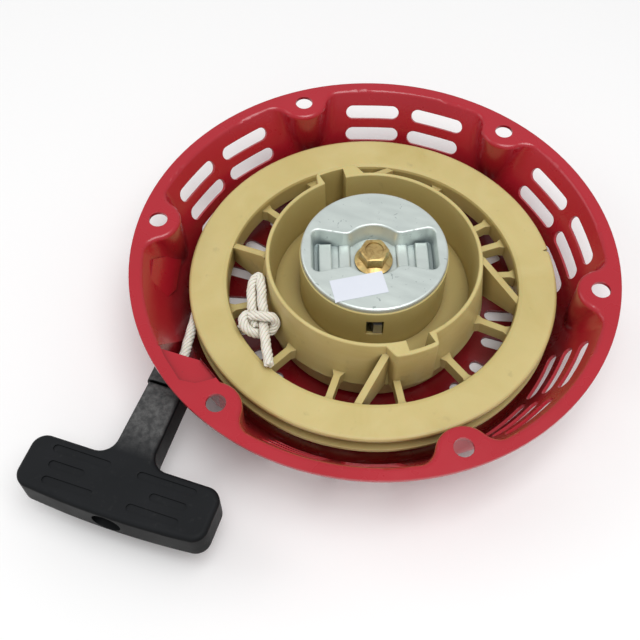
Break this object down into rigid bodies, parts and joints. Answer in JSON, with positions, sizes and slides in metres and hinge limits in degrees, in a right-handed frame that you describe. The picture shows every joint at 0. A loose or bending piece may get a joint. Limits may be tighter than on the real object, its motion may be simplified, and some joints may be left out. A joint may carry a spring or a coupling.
{
  "type": "recoil starter",
  "caption": "Pull-rope recoil starter: pressed steel cover with cooling slots, moulded rope reel, ratchet guide and pawls, mainspring and a T-shaped handle on a rope.",
  "frame": {"origin": "centre of the mounting bolt circle, on the face of the flange that meets the engine", "axes": "+Z out of the open side, towards the engine, along the reel's axis; the rope is pulled along -Y"},
  "size_m": [0.222, 0.2604, 0.0502],
  "materials": {
    "red_paint": "gloss",
    "zinc_steel": "satin",
    "yellow_zinc": "satin",
    "spring_wire": "satin",
    "spring_strip": "satin",
    "rope": "matt",
    "nylon": "satin",
    "pawl_steel": "satin",
    "bright_zinc": "gloss",
    "label": "matt",
    "grip_plastic": "satin"
  },
  "bodies": {
    "housing": {"cover": "red_paint", "center_post": "zinc_steel", "post_rivets": "zinc_steel", "center_bolt": "yellow_zinc", "friction_spring": "spring_wire", "mainspring": "spring_strip", "rope_run": "rope"},
    "reel": {"reel": "nylon", "rope_winding": "rope", "reel_knot": "rope", "pawl_spring_a": "spring_wire", "pawl_spring_b": "spring_wire"},
    "pawl_a": {"pawl_a": "pawl_steel"},
    "pawl_b": {"pawl_b": "pawl_steel"},
    "guide": {"ratchet_guide": "bright_zinc", "paper_label": "label"},
    "handle": {"grip": "grip_plastic", "grip_collar": "grip_plastic", "grip_rope": "rope", "grip_knot": "rope", "grip_washer": "zinc_steel"}
  },
  "joints": [
    {"name": "reel_spin", "type": "hinge", "parent": "housing", "child": "reel", "pos_m": [0, 0, -0.0218], "axis": [0, 0, 1], "range_deg": [0, 687], "stiffness_Nm_per_rad": 0.05, "springref_deg": -572.96},
    {"name": "grip_pull", "type": "slide", "parent": "housing", "child": "handle", "axis": [0, -1, 0], "range_m": [0, 0.9]},
    {"name": "guide_drag", "type": "hinge", "parent": "reel", "child": "guide", "pos_m": [0, 0, -0.006], "axis": [0, 0, 1], "range_deg": [-30, 0], "stiffness_Nm_per_rad": 0.02, "springref_deg": 20.05},
    {"name": "pawl_a_swing", "type": "hinge", "parent": "reel", "child": "pawl_a", "pos_m": [-0.00496, -0.02756, -0.0113], "axis": [0, 0, 1], "range_deg": [-14.4, 0]},
    {"name": "pawl_b_swing", "type": "hinge", "parent": "reel", "child": "pawl_b", "pos_m": [0.00496, 0.02756, -0.0113], "axis": [0, 0, 1], "range_deg": [-14.4, 0]}
  ],
  "couplings": [
    {"joint": "grip_pull", "follows": "reel_spin", "m_per_rad": 0.075},
    {"joint": "pawl_a_swing", "follows": "guide_drag", "ratio": 0.47667},
    {"joint": "pawl_b_swing", "follows": "guide_drag", "ratio": 0.47667}
  ]
}
